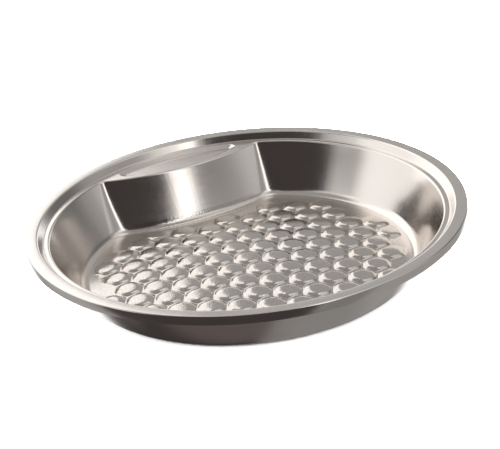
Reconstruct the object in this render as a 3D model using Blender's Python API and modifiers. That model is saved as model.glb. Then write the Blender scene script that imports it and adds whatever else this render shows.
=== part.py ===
"""Round inset draining pan with a tap ledge, pressed from one sheet of stainless steel.

Frame: metres, +Z up, origin at the centre of the base, +Y towards the tap ledge.
The pan stands on the flat margin of its floor. Its rim carries a foam seal, and small
steel anchors for worktop clips, a stiffening plate, an earth tag and a damping pad are
fixed underneath.
"""
import bmesh
import bpy
import math
from mathutils import Matrix, Vector
from mathutils.geometry import delaunay_2d_cdt

# Driving dimensions, in metres.
RIM_RADIUS = 0.225
PAN_HEIGHT = 0.061
SHEET = 0.0008
SKIRT_HEIGHT = 0.009
RIM_EDGE_RADIUS = 0.0032
DECK_DROP = 0.0076          # from the rim's crest down to the deck
WALL_TOP_RADIUS = 0.201     # where the wall's slope meets the deck's level
WALL_DRAFT = math.radians(28.0)
DECK_EDGE_RADIUS = 0.003
FLOOR_CORNER_RADIUS = 0.0135
FLOOR_CROWN = 0.0042        # rise of the floor's middle above its margin
FIT_GAP = 0.0003

# The tap ledge: a shallow arc that juts into the bowl.
LEDGE_FRONT_Y = 0.1592
LEDGE_ARC_RADIUS = 0.2334
LEDGE_CORNER_RADIUS = 0.0105
LEDGE_CORNER_GROWTH = 0.42  # the upright corners open as the bowl narrows
RECESS_FRONT_Y = 0.1654
RECESS_FRONT_RADIUS = 0.2272
RECESS_BACK_RADIUS = 0.2025
RECESS_TIP_RADIUS = 0.0095
RECESS_DEPTH = 0.002
RECESS_SLOPE_WIDTH = 0.0025

# The embossed floor.
BUMP_PITCH = 0.02956
BUMP_BASE_WIDTH = 0.0274    # across the flats
BUMP_TOP_WIDTH = 0.0185
BUMP_HEIGHT = 0.0024
PATTERN_TURN = math.radians(2.0)
PATTERN_SHIFT = 0.0050      # the lattice's own middle lies this far towards the ledge
PATTERN_REACH = 0.1564      # farthest bump centre from the pan's middle
PLAIN_MARGIN = 0.0085       # flat band round the pattern

# Points on half of each outline: main arc in two runs, corner, ledge front.
RUNS = (15, 10, 3, 8)

# Pieces fixed underneath.
SEAL_INNER_RADIUS = 0.2146
SEAL_OUTER_RADIUS = 0.2233
SEAL_PROUD = 0.0004
ANCHOR_COUNT = 8
ANCHOR_LENGTH = 0.024
ANCHOR_LEAF = 0.001
ANCHOR_REACH = 0.0065
ANCHOR_DROP = 0.0052
PLATE_THICKNESS = 0.002
PAD_RADIUS = 0.070
PAD_THICKNESS = 0.0015
TAG_WIDTH = 0.014
TAG_DROP = 0.018
TAG_HOLE_RADIUS = 0.0025

# Levels and places worked out from the driving dimensions.
DECK_Z = PAN_HEIGHT - DECK_DROP
LEDGE_CENTRE_Y = LEDGE_FRONT_Y + LEDGE_ARC_RADIUS
RECESS_CENTRE_Y = RECESS_FRONT_Y + RECESS_FRONT_RADIUS
CORNER_TURN = math.pi / 2 - WALL_DRAFT
CORNER_TOP_Z = SHEET + FLOOR_CORNER_RADIUS * (1 - math.cos(CORNER_TURN))
WALL_LEAN = (DECK_Z - CORNER_TOP_Z) * math.tan(WALL_DRAFT)
FOOT_INSET = WALL_LEAN + FLOOR_CORNER_RADIUS * math.sin(CORNER_TURN)
MARGIN_INSET = FOOT_INSET + PLAIN_MARGIN


def make_collection(name):
    collection = bpy.data.collections.new(name)
    bpy.context.scene.collection.children.link(collection)
    return collection


def make_material(name, colour, roughness, metallic):
    material = bpy.data.materials.new(name)
    material.use_nodes = True
    shader = material.node_tree.nodes["Principled BSDF"]
    shader.inputs["Base Color"].default_value = (*colour, 1.0)
    shader.inputs["Roughness"].default_value = roughness
    shader.inputs["Metallic"].default_value = metallic
    return material


def make_object(name, data, material, collection):
    item = bpy.data.objects.new(name, data)
    item.data.materials.append(material)
    collection.objects.link(item)
    return item


def shade_round(item):
    item.data.shade_smooth()
    item.data.set_sharp_from_angle(angle=math.radians(35))


def arc(centre_y, radius, start, end, steps):
    """Points on a circle centred on the Y axis, without the last one."""
    points = []
    for step in range(steps):
        angle = start + (end - start) * step / steps
        points.append((radius * math.cos(angle), centre_y + radius * math.sin(angle)))
    return points


def crossing(radius, other_y, other_radius):
    """Where a circle about the origin meets one centred at (0, other_y), at +X."""
    y = (radius ** 2 - other_radius ** 2 + other_y ** 2) / (2 * other_y)
    return math.sqrt(radius ** 2 - y ** 2), y


def both_halves(half):
    """Mirror points that run from -Y round +X to +Y into a closed loop."""
    other = [(-x, y) for x, y in reversed(half[1:-1])]
    return half + other


def bowl_outline(inset):
    """The bowl's plan: a circle with the ledge's arc cut in and two round corners."""
    main = WALL_TOP_RADIUS - inset
    ledge = LEDGE_ARC_RADIUS + inset
    corner = LEDGE_CORNER_RADIUS + LEDGE_CORNER_GROWTH * inset
    x, y = crossing(main - corner, LEDGE_CENTRE_Y, ledge + corner)
    turn_out = math.atan2(y, x)
    turn_in = math.atan2(LEDGE_CENTRE_Y - y, -x)
    half = arc(0, main, -math.pi / 2, 0, RUNS[0])
    half += arc(0, main, 0, turn_out, RUNS[1])
    for step in range(RUNS[2]):
        angle = turn_out + (turn_in - turn_out) * step / RUNS[2]
        half.append((x + corner * math.cos(angle), y + corner * math.sin(angle)))
    front_start = math.atan2(y - LEDGE_CENTRE_Y, x)
    half += arc(LEDGE_CENTRE_Y, ledge, front_start, -math.pi / 2, RUNS[3])
    half.append((0.0, LEDGE_CENTRE_Y - ledge))
    return both_halves(half)


def ring_outline(radius):
    """A circle with as many points as the bowl's plan, at matching places."""
    x, y = crossing(WALL_TOP_RADIUS, LEDGE_CENTRE_Y, LEDGE_ARC_RADIUS)
    turn = math.atan2(y, x)
    half = arc(0, radius, -math.pi / 2, 0, RUNS[0])
    half += arc(0, radius, 0, turn, RUNS[1])
    half += arc(0, radius, turn, math.pi / 2, RUNS[2] + RUNS[3])
    half.append((0.0, radius))
    return both_halves(half)


def recess_outline(inset):
    """The lens of the ledge's recess, with round tips."""
    back = RECESS_BACK_RADIUS - inset
    front = RECESS_FRONT_RADIUS - inset
    tip = RECESS_TIP_RADIUS - inset
    x, y = crossing(back - tip, RECESS_CENTRE_Y, front - tip)
    front_end = math.atan2(y - RECESS_CENTRE_Y, x)
    back_start = math.atan2(y, x)
    half = arc(RECESS_CENTRE_Y, front, -math.pi / 2, front_end, 8)
    for step in range(3):
        angle = front_end + (back_start - front_end) * step / 3
        half.append((x + tip * math.cos(angle), y + tip * math.sin(angle)))
    half += arc(0, back, back_start, math.pi / 2, 6)
    half.append((0.0, back))
    return both_halves(half)


def ledge_clearance(x, y):
    """Distance from the edge of the pattern on the ledge's side."""
    return math.hypot(x, y - LEDGE_CENTRE_Y) - LEDGE_ARC_RADIUS - MARGIN_INSET


def floor_level(x, y):
    """Height of the floor's upper face between the bumps."""
    reach = WALL_TOP_RADIUS - MARGIN_INSET
    crown = max(0.0, 1 - (x * x + y * y) / reach ** 2)
    fade = min(1.0, max(0.0, ledge_clearance(x, y) / 0.04))
    return SHEET + FLOOR_CROWN * crown * fade


def bump_centres():
    """Hexagonal lattice over the floor, inside a round limit and clear of the ledge."""
    column_step = BUMP_PITCH * math.sqrt(3) / 2
    turn = Matrix.Rotation(PATTERN_TURN, 2)
    centres = []
    for column in range(-6, 7):
        for half_row in range(-11, 10):
            along = half_row * BUMP_PITCH / 2 + PATTERN_SHIFT
            centre = turn @ Vector((column * column_step, along))
            on_lattice = (column + half_row) % 2 == 0
            clear = ledge_clearance(*centre) > BUMP_BASE_WIDTH * 0.2
            if on_lattice and clear and centre.length < PATTERN_REACH:
                centres.append(centre)
    return centres


def bump_outline(centre, width, clearance):
    """A hexagon held inside the pattern's edge."""
    limit = WALL_TOP_RADIUS - MARGIN_INSET - clearance
    ledge_limit = LEDGE_ARC_RADIUS + MARGIN_INSET + clearance
    ledge_centre = Vector((0.0, LEDGE_CENTRE_Y))
    points = []
    for side in range(6):
        angle = PATTERN_TURN + side * math.pi / 3
        spoke = Vector((math.cos(angle), math.sin(angle))) * width / math.sqrt(3)
        point = centre + spoke
        if point.length > limit:
            point = point.normalized() * limit
        from_ledge = point - ledge_centre
        if from_ledge.length < ledge_limit:
            point = ledge_centre + from_ledge.normalized() * ledge_limit
        points.append((point.x, point.y))
    return points


def inside(x, y, loop):
    """Even-odd test of a point against a closed outline."""
    odd = False
    for (ax, ay), (bx, by) in zip(loop, loop[1:] + loop[:1]):
        if (ay > y) != (by > y) and x < ax + (y - ay) * (bx - ax) / (by - ay):
            odd = not odd
    return odd


def fill_between(loops, keep):
    """Triangles over closed outlines; keep(x, y) says which side stays."""
    points = []
    edges = []
    for loop in loops:
        first = len(points)
        points += [Vector(point) for point in loop]
        edges += [(first + i, first + (i + 1) % len(loop)) for i in range(len(loop))]
    found = delaunay_2d_cdt(points, edges, [], 1, 1e-7)
    triangles = []
    for corners in found[2]:
        middle = sum((found[0][i] for i in corners), Vector((0, 0))) / 3
        if keep(middle.x, middle.y):
            triangles.append([found[3][i][0] for i in corners])
    return triangles


class Surface:
    """Vertices and faces of an open sheet, gathered piece by piece."""

    def __init__(self):
        self.points = []
        self.faces = []

    def add_loop(self, loop, level):
        """Level is a height, or a function of x and y."""
        first = len(self.points)
        for x, y in loop:
            z = level(x, y) if callable(level) else level
            self.points.append((x, y, z))
        return list(range(first, len(self.points)))

    def bridge(self, outer, inner):
        """Quads between two loops that run the same way, seen from above."""
        count = len(outer)
        for i in range(count):
            j = (i + 1) % count
            self.faces.append((outer[i], outer[j], inner[j], inner[i]))

    def fill(self, loops, rows, keep):
        """Triangles over loops whose vertices are already in place."""
        order = [index for row in rows for index in row]
        for triangle in fill_between(loops, keep):
            self.faces.append([order[i] for i in triangle])

    def to_mesh(self, name):
        mesh = bpy.data.meshes.new(name)
        mesh.from_pydata(self.points, [], self.faces)
        mesh.validate()
        return mesh


def rim_profile():
    """Radius and height from the skirt's lower edge to the deck."""
    top = PAN_HEIGHT
    edge = RIM_EDGE_RADIUS
    profile = [(RIM_RADIUS, top - SKIRT_HEIGHT)]
    for step in range(4):
        angle = math.pi / 2 * step / 3
        radius = RIM_RADIUS - edge * (1 - math.cos(angle))
        profile.append((radius, top - edge * (1 - math.sin(angle))))
    profile.append((RIM_RADIUS - 0.0115, top - 0.0005))
    profile.append((RIM_RADIUS - 0.0141, top - 0.0018))
    profile.append((RIM_RADIUS - 0.0174, top - 0.0066))
    profile.append((RIM_RADIUS - 0.0190, DECK_Z))
    return profile


def wall_profile():
    """Inset and height from the deck's edge down to the floor's margin."""
    tangent = DECK_EDGE_RADIUS * math.tan(CORNER_TURN / 2)
    profile = []
    for step in range(3):
        angle = CORNER_TURN * step / 2
        inset = -tangent + DECK_EDGE_RADIUS * math.sin(angle)
        profile.append((inset, DECK_Z - DECK_EDGE_RADIUS * (1 - math.cos(angle))))
    for step in range(4):
        angle = CORNER_TURN * (1 - step / 3)
        inset = FOOT_INSET - FLOOR_CORNER_RADIUS * math.sin(angle)
        profile.append((inset, SHEET + FLOOR_CORNER_RADIUS * (1 - math.cos(angle))))
    profile.append((MARGIN_INSET, SHEET))
    return profile


def build_pan(collection, steel):
    """The one-piece pressing: rim, deck, ledge, wall and embossed floor."""
    sheet = Surface()
    rim = [sheet.add_loop(ring_outline(radius), z) for radius, z in rim_profile()]
    for outer, inner in zip(rim, rim[1:]):
        sheet.bridge(outer, inner)

    wall_steps = wall_profile()
    wall = [sheet.add_loop(bowl_outline(inset), z) for inset, z in wall_steps]
    for outer, inner in zip(wall, wall[1:]):
        sheet.bridge(outer, inner)

    mouth = bowl_outline(wall_steps[0][0])
    recess_top = recess_outline(0)
    recess_floor = recess_outline(RECESS_SLOPE_WIDTH)
    deck_loops = [ring_outline(rim_profile()[-1][0]), mouth, recess_top, recess_floor]
    deck_rows = [rim[-1], wall[0]]
    deck_rows.append(sheet.add_loop(recess_top, DECK_Z))
    deck_rows.append(sheet.add_loop(recess_floor, DECK_Z - RECESS_DEPTH))
    sheet.fill(deck_loops, deck_rows, lambda x, y: not inside(x, y, mouth))

    floor_loops = [bowl_outline(MARGIN_INSET)]
    floor_rows = [wall[-1]]
    for centre in bump_centres():
        base = bump_outline(centre, BUMP_BASE_WIDTH, 0.0012)
        top = bump_outline(centre, BUMP_TOP_WIDTH, 0.0042)
        floor_loops += [base, top]
        floor_rows.append(sheet.add_loop(base, floor_level))
        floor_rows.append(sheet.add_loop(top, lambda x, y: floor_level(x, y) + BUMP_HEIGHT))
    sheet.fill(floor_loops, floor_rows, lambda x, y: inside(x, y, floor_loops[0]))

    pan = make_object("pan_pressing", sheet.to_mesh("pan_pressing"), steel, collection)
    shade_round(pan)
    gauge = pan.modifiers.new("gauge", "SOLIDIFY")
    gauge.thickness = SHEET
    gauge.offset = -1
    gauge.use_even_offset = True


def turn_profile(name, profile, material, collection, steps, on_axis=False):
    """A profile of (radius, height) turned about Z; it closes unless it ends on the axis."""
    mesh = bpy.data.meshes.new(name)
    edges = [(i, i + 1) for i in range(len(profile) - 1)]
    if not on_axis:
        edges.append((len(profile) - 1, 0))
    mesh.from_pydata([(radius, 0, z) for radius, z in profile], edges, [])
    item = make_object(name, mesh, material, collection)
    screw = item.modifiers.new("turn", "SCREW")
    screw.steps = steps
    screw.render_steps = steps
    screw.use_merge_vertices = True
    screw.merge_threshold = 0.00005
    return item


def build_seal(collection, foam):
    """Foam strip bonded inside the turned-down rim, just proud of the skirt."""
    top = PAN_HEIGHT - SHEET - FIT_GAP
    bottom = PAN_HEIGHT - SKIRT_HEIGHT - SEAL_PROUD
    profile = [
        (SEAL_OUTER_RADIUS - 0.0026, top - 0.0002),
        (SEAL_OUTER_RADIUS, top - 0.0026),
        (SEAL_OUTER_RADIUS, bottom),
        (SEAL_INNER_RADIUS, bottom),
        (SEAL_INNER_RADIUS, top - 0.0007),
    ]
    turn_profile("rim_seal", profile, foam, collection, 72)


def build_pad(collection, bitumen):
    """Damping pad under the crowned middle of the floor."""
    rings = 4
    radii = [PAD_RADIUS * step / rings for step in range(rings + 1)]
    upper = [(radius, floor_level(0, -radius) - SHEET - FIT_GAP) for radius in radii]
    lower = [(radius, z - PAD_THICKNESS) for radius, z in reversed(upper)]
    pad = turn_profile("damping_pad", upper + lower, bitumen, collection, 48, on_axis=True)
    shade_round(pad)


def flat_outline(name, points, thickness, material, collection):
    """A flat plate: a filled outline in the object's XY plane, given a thickness."""
    curve = bpy.data.curves.new(name, "CURVE")
    curve.dimensions = "2D"
    curve.fill_mode = "BOTH"
    curve.extrude = thickness / 2
    spline = curve.splines.new("POLY")
    spline.points.add(len(points) - 1)
    for point, (x, y) in zip(spline.points, points):
        point.co = (x, y, 0, 1)
    spline.use_cyclic_u = True
    return make_object(name, curve, material, collection)


def build_anchors(collection, zinc):
    """Folded steel angles spot-welded under the deck, for the worktop clips."""
    leaf = ANCHOR_LEAF
    angle_section = [
        (0, 0),
        (ANCHOR_REACH, 0),
        (ANCHOR_REACH, -ANCHOR_DROP),
        (ANCHOR_REACH - leaf, -ANCHOR_DROP),
        (ANCHOR_REACH - leaf, -leaf),
        (0, -leaf),
    ]
    start = RIM_RADIUS - 0.0190 - 0.0040
    level = DECK_Z - SHEET - FIT_GAP
    for index in range(ANCHOR_COUNT):
        name = f"clip_anchor_{index + 1}"
        anchor = flat_outline(name, angle_section, ANCHOR_LENGTH, zinc, collection)
        bearing = 2 * math.pi * (index + 0.5) / ANCHOR_COUNT
        place = Matrix.Rotation(bearing, 4, "Z") @ Matrix.Translation((start, 0, level))
        anchor.matrix_world = place @ Matrix.Rotation(math.pi / 2, 4, "X")


def build_plate(collection, zinc):
    """Stiffening plate bonded under the recess of the tap ledge."""
    outline = recess_outline(0.0045)
    plate = flat_outline("tap_ledge_plate", outline, PLATE_THICKNESS, zinc, collection)
    level = DECK_Z - RECESS_DEPTH - SHEET - FIT_GAP - PLATE_THICKNESS / 2
    plate.location = (0, 0, level)


def make_mesh_copy(item, collection):
    """Turn a curve into a welded mesh object of the same name and place."""
    bpy.context.view_layer.update()
    evaluated = item.evaluated_get(bpy.context.evaluated_depsgraph_get())
    mesh = bpy.data.meshes.new_from_object(evaluated)
    place = item.matrix_world.copy()
    name = item.name
    bpy.data.objects.remove(item)
    welded = bmesh.new()
    welded.from_mesh(mesh)
    bmesh.ops.remove_doubles(welded, verts=welded.verts, dist=0.00001)
    welded.to_mesh(mesh)
    welded.free()
    copy = bpy.data.objects.new(name, mesh)
    copy.matrix_world = place
    collection.objects.link(copy)
    return copy


def build_tag(collection, cutters, zinc):
    """Earth tag: a small folded tab with a hole, under the deck behind the ledge."""
    leaf = 0.0012
    reach = 0.006
    section = [(0, 0), (reach, 0), (reach, -TAG_DROP), (reach - leaf, -TAG_DROP)]
    section += [(reach - leaf, -leaf), (0, -leaf)]
    tag = flat_outline("earth_tag", section, TAG_WIDTH, zinc, collection)
    start = RIM_RADIUS - 0.0190 - 0.0030
    level = DECK_Z - SHEET - FIT_GAP
    turn = Matrix.Rotation(math.pi / 2, 4, "Z")
    place = turn @ Matrix.Translation((start, 0, level))
    tag.matrix_world = place @ Matrix.Rotation(math.pi / 2, 4, "X")
    tag = make_mesh_copy(tag, collection)
    hole_z = level - TAG_DROP + 0.006
    bpy.ops.mesh.primitive_cylinder_add(vertices=24, radius=TAG_HOLE_RADIUS, depth=0.02)
    cutter = bpy.context.object
    cutter.name = "tag_hole_cutter"
    cutter.rotation_euler = (math.pi / 2, 0, 0)
    cutter.location = (0, start + reach, hole_z)
    for owner in list(cutter.users_collection):
        owner.objects.unlink(cutter)
    cutters.objects.link(cutter)
    cutter.hide_render = True
    cutter.display_type = "WIRE"
    hole = tag.modifiers.new("hole", "BOOLEAN")
    hole.operation = "DIFFERENCE"
    hole.solver = "EXACT"
    hole.object = cutter


def main():
    for item in list(bpy.data.objects):
        bpy.data.objects.remove(item)
    parts = make_collection("round_draining_pan")
    cutters = make_collection("cutters")
    steel = make_material("stainless_steel", (0.62, 0.59, 0.56), 0.28, 1.0)
    zinc = make_material("zinc_plated_steel", (0.60, 0.61, 0.62), 0.42, 1.0)
    foam = make_material("seal_foam", (0.035, 0.035, 0.037), 0.9, 0.0)
    bitumen = make_material("damping_bitumen", (0.06, 0.058, 0.055), 0.85, 0.0)
    build_pan(parts, steel)
    build_seal(parts, foam)
    build_anchors(parts, zinc)
    build_plate(parts, zinc)
    build_tag(parts, cutters, zinc)
    build_pad(parts, bitumen)


main()
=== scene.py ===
"""Looks of the round inset draining pan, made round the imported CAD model.

The pan's pressing is built again here as one fine sheet with rounded edges, and so are the
seal, the clip anchors and the damping pad. Everything is in metres, in the CAD's own frame:
+Z up, origin at the centre of the base, +Y towards the tap ledge.
"""
import math

import bpy
from mathutils import Matrix, Vector
from mathutils.geometry import delaunay_2d_cdt


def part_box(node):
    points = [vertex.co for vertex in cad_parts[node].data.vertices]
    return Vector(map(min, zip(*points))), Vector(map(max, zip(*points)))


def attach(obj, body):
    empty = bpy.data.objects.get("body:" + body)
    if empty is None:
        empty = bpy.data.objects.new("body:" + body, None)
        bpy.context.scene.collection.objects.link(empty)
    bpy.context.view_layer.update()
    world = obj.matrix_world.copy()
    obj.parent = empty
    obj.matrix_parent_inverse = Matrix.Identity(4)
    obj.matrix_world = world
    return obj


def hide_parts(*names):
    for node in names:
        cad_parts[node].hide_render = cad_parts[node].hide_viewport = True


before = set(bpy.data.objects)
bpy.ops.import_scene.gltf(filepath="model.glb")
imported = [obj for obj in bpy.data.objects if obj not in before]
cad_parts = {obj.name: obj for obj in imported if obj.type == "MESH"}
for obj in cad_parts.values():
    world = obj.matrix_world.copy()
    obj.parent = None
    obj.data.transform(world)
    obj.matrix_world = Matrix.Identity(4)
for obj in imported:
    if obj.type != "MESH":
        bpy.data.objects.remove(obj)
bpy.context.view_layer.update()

# ---------------------------------------------------------------- sizes
PAN_LOW, PAN_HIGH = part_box("pan_pressing")
RIM_RADIUS = PAN_HIGH.x
RIM_TOP = PAN_HIGH.z
SHEET = 0.0008
CUT_EDGE_BEVEL = 0.00022
CUT_EDGE_ANGLE = math.radians(50)

SKIRT_HEIGHT = 0.009
FLANGE_WIDTH = 0.0126
FLANGE_FALL = 0.0004
STEP_DEPTH = 0.0076
STEP_FOOT_INSET = 0.0181
DECK_EDGE_INSET = 0.0200
RIM_FILLETS = [0.0016, 0.0030, 0.0016]

DECK_Z = RIM_TOP - STEP_DEPTH
MOUTH_RUN = 0.0021
MOUTH_FILLET = 0.0030
WALL_TOP_RADIUS = RIM_RADIUS - 0.024
WALL_DRAFT = math.radians(28.0)
WALL_BULGE = 0.0008
FLOOR_CORNER_RADIUS = 0.0110
PLAIN_MARGIN = 0.0010

# The floor stands highest in the middle. The easing flattens its margin, and next to the
# ledge the crown fades out over a distance.
FLOOR_CROWN = 0.0042
CROWN_EASING = 0.04
CROWN_FADE = 0.04

LEDGE_FRONT_Y = 0.1592
LEDGE_ARC_RADIUS = 0.2334
LEDGE_CENTRE_Y = LEDGE_FRONT_Y + LEDGE_ARC_RADIUS
LEDGE_CORNER_RADIUS = 0.0105
LEDGE_CORNER_GROWTH = 0.70

RECESS_FRONT_Y = 0.1654
RECESS_FRONT_RADIUS = 0.2272
RECESS_BACK_RADIUS = 0.2025
RECESS_CENTRE_Y = RECESS_FRONT_Y + RECESS_FRONT_RADIUS
RECESS_TIP_RADIUS = 0.0095
RECESS_DEPTH = 0.0023
RECESS_EDGE = 0.0008
RECESS_SLOPE_FOOT = 0.0062
RECESS_BED_INSET = 0.0080
RECESS_FILLETS = [0.0014, 0.0040]

FOOT_INSET = (DECK_Z - SHEET) * math.tan(WALL_DRAFT)
MARGIN_INSET = (
    FOOT_INSET
    + FLOOR_CORNER_RADIUS * math.tan((math.pi / 2 - WALL_DRAFT) / 2)
    + PLAIN_MARGIN
)
PATTERN_LIMIT = WALL_TOP_RADIUS - MARGIN_INSET
LEDGE_LIMIT = LEDGE_ARC_RADIUS + MARGIN_INSET

BUMP_PITCH = 0.02956
BUMP_BASE_WIDTH = 0.0286
BUMP_SHOULDER = 0.0050
# Distance in from the base's edge, and height above the floor.
BUMP_PROFILE = [
    (0, 0),
    (0.0004, 0.00010),
    (0.0012, 0.00078),
    (0.0023, 0.00160),
    (0.0036, 0.00224),
    (0.0052, 0.00266),
    (0.0074, 0.00288),
    (0.0104, 0.00297),
    (BUMP_BASE_WIDTH / 2, 0.00300),
]
BUMP_HEIGHT = BUMP_PROFILE[-1][1]
BUMP_SPOKES = 30
BASE_SHARPNESS = 18
SHOULDER_SHARPNESS = 7
# How far the base, the shoulder and the middle of a bump stay inside the pattern's edge.
BASE_CLEARANCE = 0.0012
SHOULDER_CLEARANCE = 0.0048
CORE_CLEARANCE = BUMP_BASE_WIDTH * 0.28
# A whole bump's shoulder is this many times as wide as its mean reach from the middle.
WIDTH_OVER_REACH = 1.93

PATTERN_TURN = math.radians(2.0)
PATTERN_SHIFT = 0.0050
PATTERN_REACH = 0.1564
PATTERN_LEDGE_GAP = BUMP_BASE_WIDTH * 0.2
HEXAGON_FACINGS = [PATTERN_TURN + math.pi / 6 + side * math.pi / 3 for side in range(6)]
HEXAGON_NORMALS = [Vector((math.cos(facing), math.sin(facing))) for facing in HEXAGON_FACINGS]
HEXAGON_HALF_SIDE = BUMP_PITCH / math.sqrt(3) / 2
LEAST_FACING = 0.01

# The sheet between two neighbouring bumps stands higher than at the corners where three meet.
# The saddle starts at a share of the base's half-width, and fades out up the bump's side.
SADDLE_RISE = 0.0006
SADDLE_START = 0.96
SADDLE_FADE = 1.6

# Points on half of each outline: front quarter, side, ledge's corner and ledge's front.
FRONT_STEPS = 64
SIDE_STEPS = 44
CORNER_STEPS = 16
LEDGE_STEPS = 30
# Points on half of the recess: front, tip and back.
RECESS_STEPS = (36, 14, 30)
GRID_STEP = 0.0048
GRID_CLEARANCE = 0.0015
MILLIMETRE = 0.001


# ---------------------------------------------------------------- outlines
def arc(centre, radius, start, end, steps):
    """Points round a centre from one angle towards another, without the last one."""
    x, y = centre
    angles = [start + (end - start) * step / steps for step in range(steps)]
    return [(x + radius * math.cos(angle), y + radius * math.sin(angle)) for angle in angles]


def crossing(radius, other_y, other_radius):
    """Where a circle about the origin meets one centred at (0, other_y), at +X."""
    y = (radius ** 2 - other_radius ** 2 + other_y ** 2) / (2 * other_y)
    return math.sqrt(radius ** 2 - y ** 2), y


def both_halves(half):
    """Mirror points that run from -Y round +X to +Y into a closed loop."""
    return half + [(-x, y) for x, y in reversed(half[1:-1])]


def bowl_outline(inset):
    """The bowl's plan: a circle with the ledge's arc cut in and two round corners."""
    main = WALL_TOP_RADIUS - inset
    ledge = LEDGE_ARC_RADIUS + inset
    corner = LEDGE_CORNER_RADIUS + LEDGE_CORNER_GROWTH * min(inset, FOOT_INSET)
    x, y = crossing(main - corner, LEDGE_CENTRE_Y, ledge + corner)
    turn_out = math.atan2(y, x)
    turn_in = math.atan2(LEDGE_CENTRE_Y - y, -x)
    front_start = math.atan2(y - LEDGE_CENTRE_Y, x)
    half = arc((0, 0), main, -math.pi / 2, 0, FRONT_STEPS)
    half += arc((0, 0), main, 0, turn_out, SIDE_STEPS)
    half += arc((x, y), corner, turn_out, turn_in, CORNER_STEPS)
    half += arc((0, LEDGE_CENTRE_Y), ledge, front_start, -math.pi / 2, LEDGE_STEPS)
    half.append((0.0, LEDGE_CENTRE_Y - ledge))
    return both_halves(half)


def ring_outline(radius):
    """A circle with as many points as the bowl's plan, at matching places."""
    x, y = crossing(WALL_TOP_RADIUS, LEDGE_CENTRE_Y, LEDGE_ARC_RADIUS)
    turn = math.atan2(y, x)
    half = arc((0, 0), radius, -math.pi / 2, 0, FRONT_STEPS)
    half += arc((0, 0), radius, 0, turn, SIDE_STEPS)
    half += arc((0, 0), radius, turn, math.pi / 2, CORNER_STEPS + LEDGE_STEPS)
    half.append((0.0, radius))
    return both_halves(half)


def recess_outline(inset):
    """The lens of the ledge's recess, with round tips."""
    back = RECESS_BACK_RADIUS - inset
    front = RECESS_FRONT_RADIUS - inset
    tip = RECESS_TIP_RADIUS - inset
    x, y = crossing(back - tip, RECESS_CENTRE_Y, front - tip)
    front_end = math.atan2(y - RECESS_CENTRE_Y, x)
    back_start = math.atan2(y, x)
    front_steps, tip_steps, back_steps = RECESS_STEPS
    half = arc((0, RECESS_CENTRE_Y), front, -math.pi / 2, front_end, front_steps)
    half += arc((x, y), tip, front_end, back_start, tip_steps)
    half += arc((0, 0), back, back_start, math.pi / 2, back_steps)
    half.append((0.0, back))
    return both_halves(half)


def filleted(corners, radii, chord=math.radians(8)):
    """A polyline in two dimensions whose inner corners are turned into arcs."""
    points = [Vector(corners[0])]
    for before, corner, after, radius in zip(corners, corners[1:], corners[2:], radii):
        corner = Vector(corner)
        back = (Vector(before) - corner).normalized()
        onward = (Vector(after) - corner).normalized()
        half = back.angle(onward) / 2
        centre = corner + (back + onward).normalized() * radius / math.sin(half)
        spoke = corner + back * radius / math.tan(half) - centre
        turn = math.copysign(math.pi - 2 * half, onward.x * back.y - onward.y * back.x)
        steps = max(2, math.ceil(abs(turn) / chord))
        for step in range(steps + 1):
            points.append(centre + Matrix.Rotation(turn * step / steps, 2) @ spoke)
    points.append(Vector(corners[-1]))
    return points


def inside(x, y, loop):
    """Even-odd test of a point against a closed outline."""
    odd = False
    for (ax, ay), (bx, by) in zip(loop, loop[1:] + loop[:1]):
        if (ay > y) != (by > y) and x < ax + (y - ay) * (bx - ax) / (by - ay):
            odd = not odd
    return odd


# ---------------------------------------------------------------- embossed floor
def ledge_clearance(x, y):
    """Distance from the edge of the pattern on the ledge's side."""
    return math.hypot(x, y - LEDGE_CENTRE_Y) - LEDGE_LIMIT


def floor_level(x, y):
    """Height of the floor's upper face between the bumps, easing into its margin."""
    crown = max(0.0, 1 - (x * x + y * y) / PATTERN_LIMIT ** 2)
    eased = crown * crown / (crown + CROWN_EASING) * (1 + CROWN_EASING)
    fade = min(1.0, max(0.0, ledge_clearance(x, y) / CROWN_FADE))
    return SHEET + FLOOR_CROWN * eased * fade


def bump_centres():
    """Hexagonal lattice over the floor, inside a round limit and clear of the ledge."""
    column_step = BUMP_PITCH * math.sqrt(3) / 2
    columns = math.ceil(PATTERN_REACH / column_step)
    half_rows = math.ceil((PATTERN_REACH + PATTERN_SHIFT) / (BUMP_PITCH / 2))
    turn = Matrix.Rotation(PATTERN_TURN, 2)
    centres = []
    for column in range(-columns, columns + 1):
        for half_row in range(-half_rows, half_rows + 1):
            along = half_row * BUMP_PITCH / 2 + PATTERN_SHIFT
            centre = turn @ Vector((column * column_step, along))
            on_lattice = (column + half_row) % 2 == 0
            clear = ledge_clearance(*centre) > PATTERN_LEDGE_GAP
            if on_lattice and clear and centre.length < PATTERN_REACH:
                centres.append(centre)
    return centres


def bump_core(centre):
    """A bump's centre, or a point a little inside where the pattern's edge cuts it."""
    core = centre.copy()
    core.length = min(centre.length, PATTERN_LIMIT - CORE_CLEARANCE)
    short = CORE_CLEARANCE - ledge_clearance(*core)
    if short > 0:
        core += (core - Vector((0.0, LEDGE_CENTRE_Y))).normalized() * short
    return core


def soft_minimum(lengths, power):
    """The smallest length, eased off where two are alike. The higher the power, the less."""
    total = sum((MILLIMETRE / length) ** power for length in lengths)
    return total ** (-1 / power) * MILLIMETRE


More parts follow.
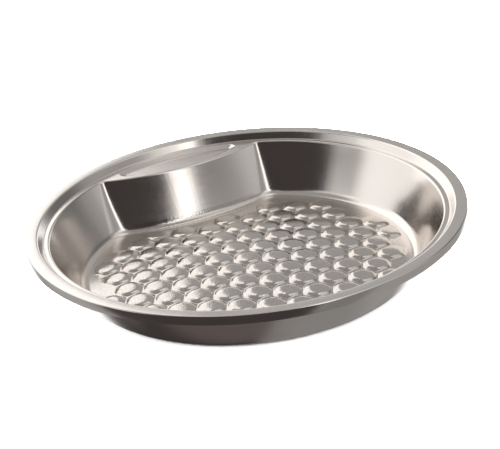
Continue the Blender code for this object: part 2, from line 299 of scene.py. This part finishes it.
def bump_outline(core, centre, width, sharpness, clearance):
    """A hexagon with soft corners, drawn about core and held inside the pattern's edge."""
    limit = PATTERN_LIMIT - clearance
    ledge_limit = LEDGE_LIMIT + clearance
    from_ledge = core - Vector((0.0, LEDGE_CENTRE_Y))
    points = []
    for step in range(BUMP_SPOKES):
        angle = PATTERN_TURN + 2 * math.pi * step / BUMP_SPOKES
        spoke = Vector((math.cos(angle), math.sin(angle)))
        along = core.dot(spoke)
        reaches = [math.sqrt(along ** 2 - core.length_squared + limit ** 2) - along]
        along = from_ledge.dot(spoke)
        square = along ** 2 - from_ledge.length_squared + ledge_limit ** 2
        if along < 0 and square > 0:
            reaches.append(-along - math.sqrt(square))
        for normal in HEXAGON_NORMALS:
            facing = spoke.dot(normal)
            if facing > LEAST_FACING:
                reaches.append((width / 2 - (core - centre).dot(normal)) / facing)
        points.append(core + spoke * soft_minimum(reaches, sharpness))
    return points


def saddle_shares(base, centre, centres):
    """How far each point of a bump's base lies on a saddle to a neighbour, from 0 to 1."""
    shares = [0.0] * len(base)
    for normal in HEXAGON_NORMALS:
        neighbour = centre + normal * BUMP_PITCH
        if min((neighbour - other).length for other in centres) > MILLIMETRE:
            continue
        for i, point in enumerate(base):
            along = (point - centre).dot(normal.orthogonal()) / HEXAGON_HALF_SIDE
            out = (point - centre).dot(normal) / (BUMP_BASE_WIDTH / 2)
            if out > SADDLE_START and abs(along) < 1:
                shares[i] = max(shares[i], (1 - along ** 2) ** 2)
    return shares


def bump_rings(centre, centres):
    """Rings of (point, rise above the floor) from a bump's base to near its crown.

    A bump that the pattern's edge cuts is lower, by as much as its shoulder is smaller.
    """
    core = bump_core(centre)
    shoulder_width = BUMP_BASE_WIDTH - 2 * BUMP_SHOULDER
    base = bump_outline(core, centre, BUMP_BASE_WIDTH, BASE_SHARPNESS, BASE_CLEARANCE)
    shoulder = bump_outline(core, centre, shoulder_width, SHOULDER_SHARPNESS, SHOULDER_CLEARANCE)
    saddle = saddle_shares(base, centre, centres)
    mean_reach = sum((point - core).length for point in shoulder) / len(shoulder)
    full = min(1.0, mean_reach / shoulder_width * WIDTH_OVER_REACH)
    rings = []
    for distance, rise in BUMP_PROFILE[:-1]:
        if distance < BUMP_SHOULDER:
            share = distance / BUMP_SHOULDER
            ring = [low.lerp(high, share) for low, high in zip(base, shoulder)]
        else:
            share = (distance - BUMP_SHOULDER) / (BUMP_BASE_WIDTH / 2 - BUMP_SHOULDER)
            ring = [point.lerp(core, share) for point in shoulder]
        lift = SADDLE_RISE * max(0.0, 1 - rise / BUMP_HEIGHT * SADDLE_FADE)
        heights = [rise * full + lift * on_saddle for on_saddle in saddle]
        rings.append(list(zip(ring, heights)))
    return rings, core, BUMP_HEIGHT * full


# ---------------------------------------------------------------- the sheet
class Sheet:
    """Vertices and faces of an open surface, gathered piece by piece.

    A row is the list of the numbers of a loop's points.
    """

    def __init__(self):
        self.points = []
        self.faces = []

    def add_points(self, points):
        """Points in space, as a row."""
        first = len(self.points)
        self.points += points
        return list(range(first, len(self.points)))

    def add_loop(self, loop, level):
        """A loop in plan, as a row. Level is a height, or a function of x and y."""
        heights = [level(x, y) if callable(level) else level for x, y in loop]
        return self.add_points([(x, y, z) for (x, y), z in zip(loop, heights)])

    def bridge(self, rows):
        """Quads between rows that run the same way, from the outermost to the innermost."""
        for outer, inner in zip(rows, rows[1:]):
            for i in range(len(outer)):
                j = (i + 1) % len(outer)
                self.faces.append((outer[i], outer[j], inner[j], inner[i]))

    def cap(self, row, point):
        """A fan from a row to one point."""
        top = self.add_points([point])[0]
        for i, corner in enumerate(row):
            self.faces.append((corner, row[(i + 1) % len(row)], top))

    def fill(self, loops, rows, keep, extra=(), level=None):
        """Triangles between loops that are already in place, through extra points."""
        points = []
        edges = []
        order = []
        for loop, row in zip(loops, rows):
            first = len(points)
            count = len(loop)
            points += [Vector(point) for point in loop]
            edges += [(first + i, first + (i + 1) % count) for i in range(count)]
            order += row
        points += [Vector(point) for point in extra]
        order += self.add_loop(extra, level)
        found = delaunay_2d_cdt(points, edges, [], 1, 1e-7)
        for corners in found[2]:
            middle = sum((found[0][i] for i in corners), Vector((0, 0))) / 3
            if keep(middle.x, middle.y):
                self.faces.append([order[found[3][i][0]] for i in corners])

    def to_object(self, name):
        mesh = bpy.data.meshes.new(name)
        mesh.from_pydata(self.points, [], self.faces)
        mesh.validate()
        mesh.shade_smooth()
        item = bpy.data.objects.new(name, mesh)
        bpy.context.scene.collection.objects.link(item)
        return item


# ---------------------------------------------------------------- the pressing
def rim_profile():
    """Radius and height from the skirt's lower edge to the deck."""
    corners = [
        (RIM_RADIUS, RIM_TOP - SKIRT_HEIGHT),
        (RIM_RADIUS, RIM_TOP),
        (RIM_RADIUS - FLANGE_WIDTH, RIM_TOP - FLANGE_FALL),
        (RIM_RADIUS - STEP_FOOT_INSET, DECK_Z),
        (RIM_RADIUS - DECK_EDGE_INSET, DECK_Z),
    ]
    return filleted(corners, RIM_FILLETS)


def wall_profile():
    """Inset and height from the deck's edge down to the pattern's edge.

    The straight run of the wall, which is the longest, gets points in between for its bulge.
    """
    corners = [
        (-MOUTH_RUN, DECK_Z),
        (0, DECK_Z),
        (FOOT_INSET, SHEET),
        (MARGIN_INSET, SHEET),
    ]
    steps = filleted(corners, [MOUTH_FILLET, FLOOR_CORNER_RADIUS], math.radians(6))
    longest = max(range(1, len(steps)), key=lambda i: abs(steps[i].y - steps[i - 1].y))
    above, below = steps[longest - 1], steps[longest]
    for share in (0.8, 0.6, 0.4, 0.2):
        steps.insert(longest, above.lerp(below, share))
    profile = []
    for inset, z in steps:
        depth = (DECK_Z - z) / (DECK_Z - SHEET)
        profile.append(Vector((inset - WALL_BULGE * 4 * depth * (1 - depth), z)))
    return profile


def recess_profile():
    """Inset and drop from the recess's edge to its bed."""
    corners = [
        (0, 0),
        (RECESS_EDGE, 0),
        (RECESS_SLOPE_FOOT, -RECESS_DEPTH),
        (RECESS_BED_INSET, -RECESS_DEPTH),
    ]
    return filleted(corners, RECESS_FILLETS)


def add_deck(sheet, deck_row, mouth_row):
    """The flat deck and ledge between the step and the mouth, with the recess sunk into it."""
    steps = recess_profile()
    rows = [sheet.add_loop(recess_outline(inset), DECK_Z + drop) for inset, drop in steps]
    sheet.bridge(rows)
    ring = ring_outline(rim_profile()[-1].x)
    mouth = bowl_outline(wall_profile()[0].x)
    edge = recess_outline(steps[0].x)
    bed = recess_outline(steps[-1].x)
    sheet.fill(
        [ring, mouth, edge],
        [deck_row, mouth_row, rows[0]],
        lambda x, y: not inside(x, y, mouth) and not inside(x, y, edge),
    )
    sheet.fill([bed], [rows[-1]], lambda x, y: inside(x, y, bed))


def add_bump(sheet, centre, centres):
    """One bump on the floor. Gives back its base, as an outline and as a row."""
    rings, core, crown = bump_rings(centre, centres)
    rows = []
    for ring in rings:
        points = [(at.x, at.y, floor_level(at.x, at.y) + rise) for at, rise in ring]
        rows.append(sheet.add_points(points))
    sheet.bridge(rows)
    sheet.cap(rows[-1], (core.x, core.y, floor_level(*core) + crown))
    return [tuple(point) for point, rise in rings[0]], rows[0]


def nearby(x, y, bases):
    """Base outlines of the bumps whose centres are less than a bump's width away."""
    return [base for centre, base in bases if math.dist((x, y), centre) < BUMP_BASE_WIDTH]


def on_bump(x, y, bases):
    """True where a bump covers the floor."""
    return any(inside(x, y, base) for base in nearby(x, y, bases))


def plain_floor_points(outline, bases):
    """A sparse grid over the floor, clear of the bumps and of the pattern's edge."""
    count = int(PATTERN_LIMIT / GRID_STEP) + 1
    points = []
    for i in range(-count, count + 1):
        for j in range(-count, count + 1):
            x = (i + 0.5 * (j % 2)) * GRID_STEP
            y = j * GRID_STEP * math.sqrt(3) / 2
            if min(PATTERN_LIMIT - math.hypot(x, y), ledge_clearance(x, y)) < GRID_CLEARANCE:
                continue
            corners = [point for base in nearby(x, y, bases) for point in base]
            apart = min((math.dist((x, y), point) for point in corners), default=1)
            if apart > GRID_CLEARANCE and not on_bump(x, y, bases) and inside(x, y, outline):
                points.append((x, y))
    return points


def add_floor(sheet, edge_row):
    """The embossed floor inside the pattern's edge."""
    outline = bowl_outline(MARGIN_INSET)
    loops = [outline]
    rows = [edge_row]
    bases = []
    centres = bump_centres()
    for centre in centres:
        base, row = add_bump(sheet, centre, centres)
        bases.append((centre, base))
        loops.append(base)
        rows.append(row)
    sheet.fill(
        loops,
        rows,
        lambda x, y: inside(x, y, outline) and not on_bump(x, y, bases),
        plain_floor_points(outline, bases),
        floor_level,
    )


def build_pressing():
    """The one-piece pressing: rim, deck, ledge, wall and embossed floor."""
    sheet = Sheet()
    rim = [sheet.add_loop(ring_outline(radius), z) for radius, z in rim_profile()]
    sheet.bridge(rim)
    wall = [sheet.add_loop(bowl_outline(inset), z) for inset, z in wall_profile()]
    sheet.bridge(wall)
    add_deck(sheet, rim[-1], wall[0])
    add_floor(sheet, wall[-1])
    pan = sheet.to_object("pan_pressing_fine")
    gauge = pan.modifiers.new("gauge", "SOLIDIFY")
    gauge.thickness = SHEET
    gauge.offset = -1
    gauge.use_even_offset = True
    cut_edge = pan.modifiers.new("cut_edge", "BEVEL")
    cut_edge.width = CUT_EDGE_BEVEL
    cut_edge.segments = 2
    cut_edge.limit_method = "ANGLE"
    cut_edge.angle_limit = CUT_EDGE_ANGLE
    return pan


# ---------------------------------------------------------------- pieces underneath
SEAL_WIDTH = 0.0087
SEAL_OUTER_CHAMFER = (0.0026, 0.0024)
SEAL_INNER_FALL = 0.0005
# Two shallow grooves in the seal's lower face: their places across it, and their section.
SEAL_GROOVES = (0.3, 0.7)
GROOVE_HALF_MOUTH = 0.0009
GROOVE_HALF_BED = 0.0004
GROOVE_DEPTH = 0.0004

PAD_THICKNESS = 0.0015
PAD_GAP = 0.0003
PAD_EDGE = 0.0005
PAD_RINGS = 10
PAD_EDGE_STEPS = 5

ANCHOR_COUNT = 8
ANCHOR_START = RIM_RADIUS - 0.0230
ANCHOR_REACH = 0.0065
ANCHOR_LENGTH = 0.024
ANCHOR_LEAF = 0.001
ANCHOR_OUTER_BEND = 0.0014
ANCHOR_INNER_BEND = 0.0005
WELD_PLACES = (-0.007, 0.007)
WELD_INSET = 0.0028
WELD_RADIUS = 0.0016
WELD_SPOKES = 20
# Share of a weld mark's radius, and how far that ring stands out from the leaf.
WELD_RINGS = ((1.0, -0.00002), (0.8, 0.00010), (0.45, 0.00018))


def turned(name, profile, steps, closed=True):
    """A profile of (radius, height) turned about Z."""
    edges = [(i, i + 1) for i in range(len(profile) - 1)]
    if closed:
        edges.append((len(profile) - 1, 0))
    mesh = bpy.data.meshes.new(name)
    mesh.from_pydata([(radius, 0, z) for radius, z in profile], edges, [])
    item = bpy.data.objects.new(name, mesh)
    bpy.context.scene.collection.objects.link(item)
    screw = item.modifiers.new("turn", "SCREW")
    screw.steps = steps
    screw.render_steps = steps
    screw.use_merge_vertices = True
    screw.merge_threshold = 0.00005
    screw.use_smooth_shade = True
    return item


def build_seal():
    """Foam strip inside the rim, with two shallow grooves in the face that it closes on."""
    low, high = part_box("rim_seal")
    outer = high.x
    inner = outer - SEAL_WIDTH
    chamfer_in, chamfer_down = SEAL_OUTER_CHAMFER
    corners = [(outer - chamfer_in, high.z), (outer, high.z - chamfer_down), (outer, low.z)]
    for share in SEAL_GROOVES:
        middle = outer - SEAL_WIDTH * share
        corners += [
            (middle + GROOVE_HALF_MOUTH, low.z),
            (middle + GROOVE_HALF_BED, low.z + GROOVE_DEPTH),
            (middle - GROOVE_HALF_BED, low.z + GROOVE_DEPTH),
            (middle - GROOVE_HALF_MOUTH, low.z),
        ]
    corners += [(inner, low.z), (inner, high.z - SEAL_INNER_FALL)]
    return turned("rim_seal_foam", corners, 256)


def build_pad():
    """Damping pad with a soft edge, under the middle of the floor."""
    low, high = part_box("damping_pad")
    radius = high.x
    flat = radius - PAD_EDGE
    places = [radius * step / PAD_RINGS for step in range(PAD_RINGS)] + [flat]

    def upper(r):
        """Height of the pad's upper face, just under the sheet."""
        return floor_level(0, -r) - SHEET - PAD_GAP

    profile = [(r, upper(r)) for r in places]
    for step in range(1, PAD_EDGE_STEPS):
        angle = math.pi * step / PAD_EDGE_STEPS
        out = math.sin(angle) * PAD_EDGE
        drop = (1 - math.cos(angle)) / 2 * PAD_THICKNESS
        profile.append((flat + out, upper(flat) - drop))
    profile += [(r, upper(r) - PAD_THICKNESS) for r in reversed(places)]
    return turned("damping_pad_soft", profile, 160, closed=False)


def anchor_section(level, drop):
    """Radius and height round the section of an anchor's bent leaf."""
    heel = ANCHOR_REACH - ANCHOR_LEAF
    outer = [(0, 0), (ANCHOR_REACH, 0), (ANCHOR_REACH, -drop)]
    inner = [(heel, -drop), (heel, -ANCHOR_LEAF), (0, -ANCHOR_LEAF)]
    section = filleted(outer, [ANCHOR_OUTER_BEND]) + filleted(inner, [ANCHOR_INNER_BEND])
    return [(ANCHOR_START + r, level + z) for r, z in section]


def add_weld_mark(points, faces, along, level):
    """A shallow round button under an anchor's flat leaf, whose lower face is at level."""
    rings = []
    for share, stand in WELD_RINGS:
        first = len(points)
        for step in range(WELD_SPOKES):
            angle = 2 * math.pi * step / WELD_SPOKES
            x = ANCHOR_START + WELD_INSET + WELD_RADIUS * share * math.cos(angle)
            y = along + WELD_RADIUS * share * math.sin(angle)
            points.append((x, y, level - stand))
        rings.append(range(first, len(points)))
    for outer, inner in zip(rings, rings[1:]):
        for i in range(WELD_SPOKES):
            j = (i + 1) % WELD_SPOKES
            faces.append((outer[j], outer[i], inner[i], inner[j]))
    faces.append(tuple(reversed(rings[-1])))


def build_anchor(index):
    """Folded angle with a bent corner and two weld marks, in place under the deck."""
    low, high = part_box("clip_anchor_2")
    section = anchor_section(high.z, high.z - low.z)
    count = len(section)
    points = []
    for along in (-ANCHOR_LENGTH / 2, ANCHOR_LENGTH / 2):
        points += [(r, along, z) for r, z in section]
    faces = [tuple(reversed(range(count))), tuple(range(count, 2 * count))]
    for i in range(count):
        j = (i + 1) % count
        faces.append((i, j, count + j, count + i))
    for along in WELD_PLACES:
        add_weld_mark(points, faces, along, high.z - ANCHOR_LEAF)
    mesh = bpy.data.meshes.new(f"anchor_{index}")
    mesh.from_pydata(points, [], faces)
    mesh.validate()
    bearing = 2 * math.pi * (index - 0.5) / ANCHOR_COUNT
    mesh.transform(Matrix.Rotation(bearing, 4, "Z"))
    mesh.shade_smooth()
    mesh.set_sharp_from_angle(angle=math.radians(30))
    item = bpy.data.objects.new(f"clip_anchor_{index}_folded", mesh)
    bpy.context.scene.collection.objects.link(item)
    return item


# ---------------------------------------------------------------- materials
STEEL_LIGHT = (0.775, 0.725, 0.68, 1)
STEEL_DARK = (0.72, 0.67, 0.625, 1)
# Colour of the painted shade on the embossed floor.
STEEL_FLOOR_SHADED = (0.56, 0.52, 0.475, 1)
ZINC_LIGHT = (0.60, 0.61, 0.63, 1)
ZINC_DARK = (0.48, 0.49, 0.50, 1)
FOAM_DARK = (0.030, 0.030, 0.032, 1)
FOAM_LIGHT = (0.052, 0.051, 0.050, 1)
BITUMEN_DARK = (0.050, 0.048, 0.046, 1)
BITUMEN_LIGHT = (0.085, 0.080, 0.075, 1)
PAPER_WHITE = (0.9, 0.9, 0.9, 1)

# Where the embossed part of the pan ends, as ranges over which its look fades.
EMBOSSED_RADIUS = (0.158, 0.165)
EMBOSSED_HEIGHT = (0.0075, 0.0095)


def add(tree, kind, inputs=None, **settings):
    """A node, with its settings and its inputs given as values or as sockets."""
    item = tree.nodes.new(kind)
    for key, value in settings.items():
        setattr(item, key, value)
    for key, value in (inputs or {}).items():
        if isinstance(value, bpy.types.NodeSocket):
            tree.links.new(value, item.inputs[key])
        else:
            item.inputs[key].default_value = value
    return item


def new_material(name):
    """A material with its Principled shader alone, and its place in space as a socket."""
    material = bpy.data.materials.new(name)
    material.use_nodes = True
    tree = material.node_tree
    shader = tree.nodes["Principled BSDF"]
    place = add(tree, "ShaderNodeTexCoord").outputs["Object"]
    return material, tree, shader, place


def math_node(tree, operation, first, second=0.0):
    """The result of one operation on values or sockets."""
    item = add(tree, "ShaderNodeMath", {0: first, 1: second}, operation=operation)
    return item.outputs["Value"]


def noise(tree, place, scale, detail=3.0, stretch=(1, 1, 1)):
    """Noise over a place that may be stretched, as a value."""
    mapping = add(tree, "ShaderNodeMapping", {"Vector": place, "Scale": stretch})
    inputs = {
        "Vector": mapping.outputs["Vector"],
        "Scale": scale,
        "Detail": detail,
        "Roughness": 0.55,
    }
    return add(tree, "ShaderNodeTexNoise", inputs).outputs["Fac"]


def remap(tree, value, low, high, from_low=0.3, from_high=0.7):
    """A value stretched from one range to another, and held inside it."""
    inputs = {
        "Value": value,
        "From Min": from_low,
        "From Max": from_high,
        "To Min": low,
        "To Max": high,
    }
    return add(tree, "ShaderNodeMapRange", inputs).outputs["Result"]


def colour_mix(tree, share, first, second, **settings):
    """Two colours mixed, each given as a value or as a socket."""
    inputs = {"Factor": share, "A": first, "B": second}
    item = add(tree, "ShaderNodeMix", inputs, data_type="RGBA", **settings)
    return item.outputs["Result"]


def set_relief(tree, shader, height, strength, distance):
    """Bends the shader's normals by a height."""
    inputs = {"Height": height, "Strength": strength, "Distance": distance}
    relief = add(tree, "ShaderNodeBump", inputs)
    tree.links.new(relief.outputs["Normal"], shader.inputs["Normal"])


def embossed_mask(tree, place, height):
    """1 on the embossed floor and 0 on the rest of the pan."""
    across = add(tree, "ShaderNodeVectorMath", {0: place, 1: (1, 1, 0)}, operation="MULTIPLY")
    flat = across.outputs["Vector"]
    radius = add(tree, "ShaderNodeVectorMath", {0: flat}, operation="LENGTH")
    inner = remap(tree, radius.outputs["Value"], 1.0, 0.0, *EMBOSSED_RADIUS)
    low = remap(tree, height, 1.0, 0.0, *EMBOSSED_HEIGHT)
    return math_node(tree, "MULTIPLY", inner, low)


def drawing_marks(tree, parts):
    """Noise that changes only with the bearing round the pan, like marks of the die."""
    bearing = math_node(tree, "ARCTAN2", parts.outputs["Y"], parts.outputs["X"])
    cosine = math_node(tree, "COSINE", bearing)
    sine = math_node(tree, "SINE", bearing)
    circle = add(tree, "ShaderNodeCombineXYZ", {"X": cosine, "Y": sine})
    return noise(tree, circle.outputs["Vector"], 26.0, 4.0)


def stainless_steel():
    """Bright rolled sheet: warm grey, with rolling grain, drawing marks and light smears.

    The embossed floor is darker, lowest parts most: painted shade at the bowl's bottom. It is also
    finely pitted, and a little smoother.
    """
    material, tree, shader, place = new_material("stainless_steel_satin")
    shader.inputs["Metallic"].default_value = 1.0
    parts = add(tree, "ShaderNodeSeparateXYZ", {"Vector": place})
    drawing = drawing_marks(tree, parts)
    grain = noise(tree, place, 1.0, 4.0, (60, 1500, 400))
    smears = noise(tree, place, 22.0, 5.0)
    cloud = noise(tree, place, 7.0, 2.0)
    peel = noise(tree, place, 520.0, 2.0)
    embossed = embossed_mask(tree, place, parts.outputs["Z"])

    plain = colour_mix(tree, remap(tree, cloud, 0.0, 1.0), STEEL_LIGHT, STEEL_DARK)
    # Painted shade: the floor's colour darkens towards its shaded colour, most where it lies
    # lowest, broken up by fine pits.
    floor_shade_and_pits = math_node(tree, "MULTIPLY", embossed, remap(tree, peel, 0.35, 1.0))
    colour = colour_mix(tree, floor_shade_and_pits, plain, STEEL_FLOOR_SHADED)
    tree.links.new(colour, shader.inputs["Base Color"])

    rough = math_node(tree, "ADD", remap(tree, smears, 0.13, 0.19), remap(tree, grain, -0.02, 0.03))
    smooth = math_node(tree, "MULTIPLY", embossed, 0.04)
    tree.links.new(math_node(tree, "SUBTRACT", rough, smooth), shader.inputs["Roughness"])

    relief = math_node(tree, "ADD", grain, math_node(tree, "MULTIPLY", drawing, 8.0))
    pitted = math_node(tree, "MULTIPLY", embossed, math_node(tree, "MULTIPLY", peel, 18.0))
    set_relief(tree, shader, math_node(tree, "ADD", relief, pitted), 0.25, 0.00002)
    return material


def zinc_plate():
    """Dull zinc on folded steel: grey with soft spangles."""
    material, tree, shader, place = new_material("zinc_plate")
    shader.inputs["Metallic"].default_value = 1.0
    cells = add(tree, "ShaderNodeTexVoronoi", {"Vector": place, "Scale": 420.0})
    blotch = noise(tree, place, 160.0)
    colour = colour_mix(tree, remap(tree, blotch, 0.0, 1.0), ZINC_LIGHT, ZINC_DARK)
    tree.links.new(colour, shader.inputs["Base Color"])
    rough = remap(tree, cells.outputs["Distance"], 0.34, 0.5, 0.0, 0.8)
    tree.links.new(rough, shader.inputs["Roughness"])
    set_relief(tree, shader, blotch, 0.3, 0.00005)
    return material


def seal_foam():
    """Closed-cell foam, near black, with a finely pitted skin."""
    material, tree, shader, place = new_material("closed_cell_foam")
    cells = add(tree, "ShaderNodeTexVoronoi", {"Vector": place, "Scale": 1800.0})
    tone = noise(tree, place, 90.0)
    colour = colour_mix(tree, remap(tree, tone, 0.0, 1.0), FOAM_DARK, FOAM_LIGHT)
    tree.links.new(colour, shader.inputs["Base Color"])
    tree.links.new(remap(tree, tone, 0.82, 0.95), shader.inputs["Roughness"])
    set_relief(tree, shader, cells.outputs["Distance"], 0.7, 0.00025)
    return material


def damping_bitumen():
    """Bitumen felt: dark, granular and slightly greasy."""
    material, tree, shader, place = new_material("bitumen_felt")
    grit = noise(tree, place, 700.0, 2.0)
    cloud = noise(tree, place, 45.0)
    colour = colour_mix(tree, remap(tree, cloud, 0.0, 1.0), BITUMEN_DARK, BITUMEN_LIGHT)
    tree.links.new(colour, shader.inputs["Base Color"])
    tree.links.new(remap(tree, grit, 0.62, 0.9), shader.inputs["Roughness"])
    set_relief(tree, shader, grit, 0.8, 0.0003)
    return material


# ---------------------------------------------------------------- camera
VIEW_AZIMUTH = math.radians(-21.9)
VIEW_ELEVATION = math.radians(24.47)
VIEW_DISTANCE = 7.56 * RIM_RADIUS
VIEW_ROLL = math.radians(5.91)
LENS = 120.4
SENSOR = 36.0
SHIFT_X = 0.010
SHIFT_Y = -0.028


def heading(azimuth, elevation):
    """Unit vector from the pan, by azimuth (0 looks along +Y) and elevation in radians."""
    flat = math.cos(elevation)
    return Vector((math.sin(azimuth) * flat, -math.cos(azimuth) * flat, math.sin(elevation)))


def place_camera():
    data = bpy.data.cameras.new("camera")
    data.lens = LENS
    data.sensor_width = SENSOR
    data.shift_x = SHIFT_X
    data.shift_y = SHIFT_Y
    data.clip_start = 0.05
    data.clip_end = 50
    camera = bpy.data.objects.new("camera", data)
    bpy.context.scene.collection.objects.link(camera)
    back = heading(VIEW_AZIMUTH, VIEW_ELEVATION)
    turn = back.to_track_quat("Z", "Y").to_matrix().to_4x4()
    roll = Matrix.Rotation(-VIEW_ROLL, 4, "Z")
    spot = Matrix.Translation(Vector((0, 0, RIM_TOP)) + back * VIEW_DISTANCE)
    camera.matrix_world = spot @ turn @ roll
    bpy.context.scene.camera = camera


# ---------------------------------------------------------------- floor and light
# The studio as the steel sees it. Each patch: name, azimuth to the right of the camera and
# half-width, elevation and half-height, softness (all in degrees), colour and strength.
# Later patches lie over earlier ones, and all of them over the ceiling.
WHITE = (1.0, 1.0, 1.0)
BROWN = (1.0, 0.86, 0.86)
CEILING_STRENGTH = 0.36
STUDIO = [
    ("table", 0, 180, -85, 37, 7, BROWN, 0.13),
    ("table_left", -150, 42, -68, 25, 10, BROWN, 0.05),
    ("table_right", 110, 70, -66, 22, 12, WHITE, 0.28),
    ("wall_right", 100, 44, -3, 54, 9, WHITE, 0.38),
    ("wall_right_light", 86, 12, 20, 12, 7, WHITE, 0.66),
    ("wall_right_gap", 128, 16, 20, 18, 8, WHITE, 0.17),
    ("side_right", 48, 14, -16, 42, 7, WHITE, 0.24),
    ("wall_back_right", 163, 22, 38, 30, 6, WHITE, 0.47),
    ("floor_left", -112, 18, -22, 28, 8, WHITE, 0.45),
    ("backdrop", -180, 32, -12, 27, 6, WHITE, 1.4),
    ("glow_back_left", -146, 30, 25, 29, 2, WHITE, 1.5),
    ("upper_left", -120, 65, 63, 8, 6, WHITE, 0.38),
    ("soft_box_left", -101, 20, 24, 27, 5, WHITE, 1.2),
    ("soft_box_left_edge", -73, 10, 40, 16, 6, WHITE, 0.75),
    ("soft_box_upper_right", 95, 52, 62, 11, 6, WHITE, 0.78),
    ("top_back", 150, 16, 68, 7, 5, WHITE, 1.2),
    ("camera_side_low", -30, 52, -30, 32, 5, BROWN, 0.065),
    ("camera_side", -14, 46, 10, 60, 3, BROWN, 0.055),
    ("soft_box_right", 38, 6, 43, 22, 4, WHITE, 2.0),
    ("soft_box_right_top", 56, 12, 57, 8, 5, WHITE, 1.2),
]
FLOOR_HALF = 8.0
FLOOR_GAP = 0.0004
WASH_SIZE = 7.0
WASH_HEIGHT = 2.2
WASH_POWER = 2600.0


def direction_angles(tree):
    """Azimuth and elevation in radians of the direction that the world is seen in."""
    direction = add(tree, "ShaderNodeTexCoord").outputs["Generated"]
    parts = add(tree, "ShaderNodeSeparateXYZ", {"Vector": direction})
    across = math_node(tree, "MULTIPLY", parts.outputs["Y"], -1.0)
    azimuth = math_node(tree, "ARCTAN2", parts.outputs["X"], across)
    return azimuth, math_node(tree, "ARCSINE", parts.outputs["Z"])


def soft_window(tree, offset, half, soft):
    """1 while an angle's offset is well below half, and 0 well above it."""
    inputs = {
        "Value": math_node(tree, "ABSOLUTE", offset),
        "From Min": math.radians(half + soft),
        "From Max": math.radians(half - soft),
    }
    item = add(tree, "ShaderNodeMapRange", inputs, interpolation_type="SMOOTHSTEP")
    return item.outputs["Result"]


def lit(tint, strength):
    """A colour of light at a strength, with full alpha."""
    return (*(channel * strength for channel in tint), 1)


def surroundings():
    """The world: a studio of soft boxes and dark cards round the pan, white to the camera."""
    world = bpy.data.worlds.new("studio")
    bpy.context.scene.world = world
    world.use_nodes = True
    tree = world.node_tree
    azimuth, elevation = direction_angles(tree)
    light = lit(WHITE, CEILING_STRENGTH)
    for name, turn, half_width, climb, half_height, soft, tint, strength in STUDIO:
        apart = math_node(tree, "SUBTRACT", azimuth, math.radians(turn) + VIEW_AZIMUTH)
        half_turns = {0: apart, 1: math.pi, 2: -math.pi}
        wrapped = add(tree, "ShaderNodeMath", half_turns, operation="WRAP").outputs["Value"]
        above = math_node(tree, "SUBTRACT", elevation, math.radians(climb))
        across = soft_window(tree, wrapped, half_width, soft)
        upright = soft_window(tree, above, half_height, soft)
        share = math_node(tree, "MULTIPLY", across, upright)
        light = colour_mix(tree, share, light, lit(tint, strength), label=name)
    seen = add(tree, "ShaderNodeLightPath").outputs["Is Camera Ray"]
    shown = colour_mix(tree, seen, light, lit(WHITE, 1.0))
    tree.links.new(shown, tree.nodes["Background"].inputs["Color"])


def white_floor():
    """A pale paper floor under the pan, which the steel doesn't mirror."""
    level = PAN_LOW.z - FLOOR_GAP
    sides = [(-1, -1), (1, -1), (1, 1), (-1, 1)]
    corners = [(x * FLOOR_HALF, y * FLOOR_HALF, level) for x, y in sides]
    mesh = bpy.data.meshes.new("studio_floor")
    mesh.from_pydata(corners, [], [(0, 1, 2, 3)])
    floor = bpy.data.objects.new("studio_floor", mesh)
    bpy.context.scene.collection.objects.link(floor)
    paper, tree, shader, place = new_material("white_paper")
    shader.inputs["Base Color"].default_value = PAPER_WHITE
    shader.inputs["Roughness"].default_value = 0.8
    mesh.materials.append(paper)
    floor.visible_glossy = False


def floor_wash():
    """A wide lamp that washes the floor, which the steel doesn't mirror either."""
    lamp = bpy.data.lights.new("floor_wash", "AREA")
    lamp.shape = "DISK"
    lamp.size = WASH_SIZE
    lamp.energy = WASH_POWER
    wash = bpy.data.objects.new("floor_wash", lamp)
    wash.location = (0, 0, WASH_HEIGHT)
    wash.visible_glossy = False
    bpy.context.scene.collection.objects.link(wash)


# ---------------------------------------------------------------- the whole scene
def show(piece, material, node):
    """Gives a new piece its material, hangs it under the root body, and hides the solid that it
    stands for.
    """
    piece.data.materials.append(material)
    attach(piece, "root")
    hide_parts(node)


place_camera()
steel = stainless_steel()
zinc = zinc_plate()
foam = seal_foam()
bitumen = damping_bitumen()

show(build_pressing(), steel, "pan_pressing")
show(build_seal(), foam, "rim_seal")
show(build_pad(), bitumen, "damping_pad")
for index in range(1, ANCHOR_COUNT + 1):
    show(build_anchor(index), zinc, f"clip_anchor_{index}")
for node in ("tap_ledge_plate", "earth_tag"):
    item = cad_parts[node]
    item.data.materials.clear()
    item.data.materials.append(zinc)

surroundings()
white_floor()
floor_wash()
bpy.context.scene.view_settings.view_transform = "Standard"
